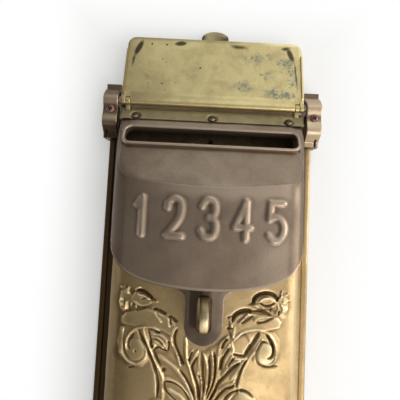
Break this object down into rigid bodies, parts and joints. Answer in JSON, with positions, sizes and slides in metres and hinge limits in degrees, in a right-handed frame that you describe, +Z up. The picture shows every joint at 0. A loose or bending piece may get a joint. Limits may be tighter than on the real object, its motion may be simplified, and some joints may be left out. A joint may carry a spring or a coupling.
{
  "type": "wall mounted mailbox",
  "caption": "Tall wall mounted mailbox with a hinged hood, a letter slot in the hood's sloped top, a flap that folds down over the slot, and a hasp over a staple.",
  "frame": {"origin": "middle of the back plate's rear face, which lies on the wall", "axes": "+X to the right seen from the front, +Y into the wall, +Z up"},
  "size_m": [0.184, 0.0722, 0.4198],
  "materials": {
    "gilt_brass": "golden bronze, worn bright on the relief",
    "dull_brass": "dull brass with brown patina",
    "yellow_brass": "yellow brass with stains and fine scratches",
    "strip_brass": "olive brown brass",
    "copper_brown": "reddish brown bronze, satin",
    "dark_bronze": "dark grey brown bronze, satin",
    "screw_steel": "tarnished plated steel"
  },
  "bodies": {
    "box": {"back_plate": "gilt_brass", "box_shell": "gilt_brass", "flange_rivet_1": "gilt_brass", "flange_rivet_2": "gilt_brass", "flange_rivet_3": "gilt_brass", "flange_rivet_4": "gilt_brass", "flange_rivet_5": "gilt_brass", "flange_rivet_6": "gilt_brass", "hanger_plate": "dull_brass", "hanger_rivet_left": "dull_brass", "hanger_rivet_right": "dull_brass", "staple": "yellow_brass", "staple_washer": "dull_brass", "hinge_rod": "dull_brass", "hinge_block_left": "copper_brown", "hinge_block_right": "copper_brown", "hinge_strap_left": "copper_brown", "hinge_strap_right": "copper_brown", "hinge_screw_left": "screw_steel", "hinge_screw_right": "screw_steel"},
    "hood": {"hood": "dark_bronze", "hood_strip": "strip_brass", "strip_rivet_1": "strip_brass", "strip_rivet_2": "strip_brass", "strip_rivet_3": "strip_brass"},
    "flap": {"flap": "yellow_brass", "lift_knob": "dull_brass"}
  },
  "joints": [
    {"name": "hood_hinge", "type": "hinge", "parent": "box", "child": "hood", "pos_m": [0, -0.018, 0.18], "axis": [1, 0, 0], "range_deg": [-85, 0]},
    {"name": "flap_hinge", "type": "hinge", "parent": "hood", "child": "flap", "pos_m": [0, -0.018, 0.18], "axis": [-1, 0, 0], "range_deg": [-155.8, 0]}
  ]
}
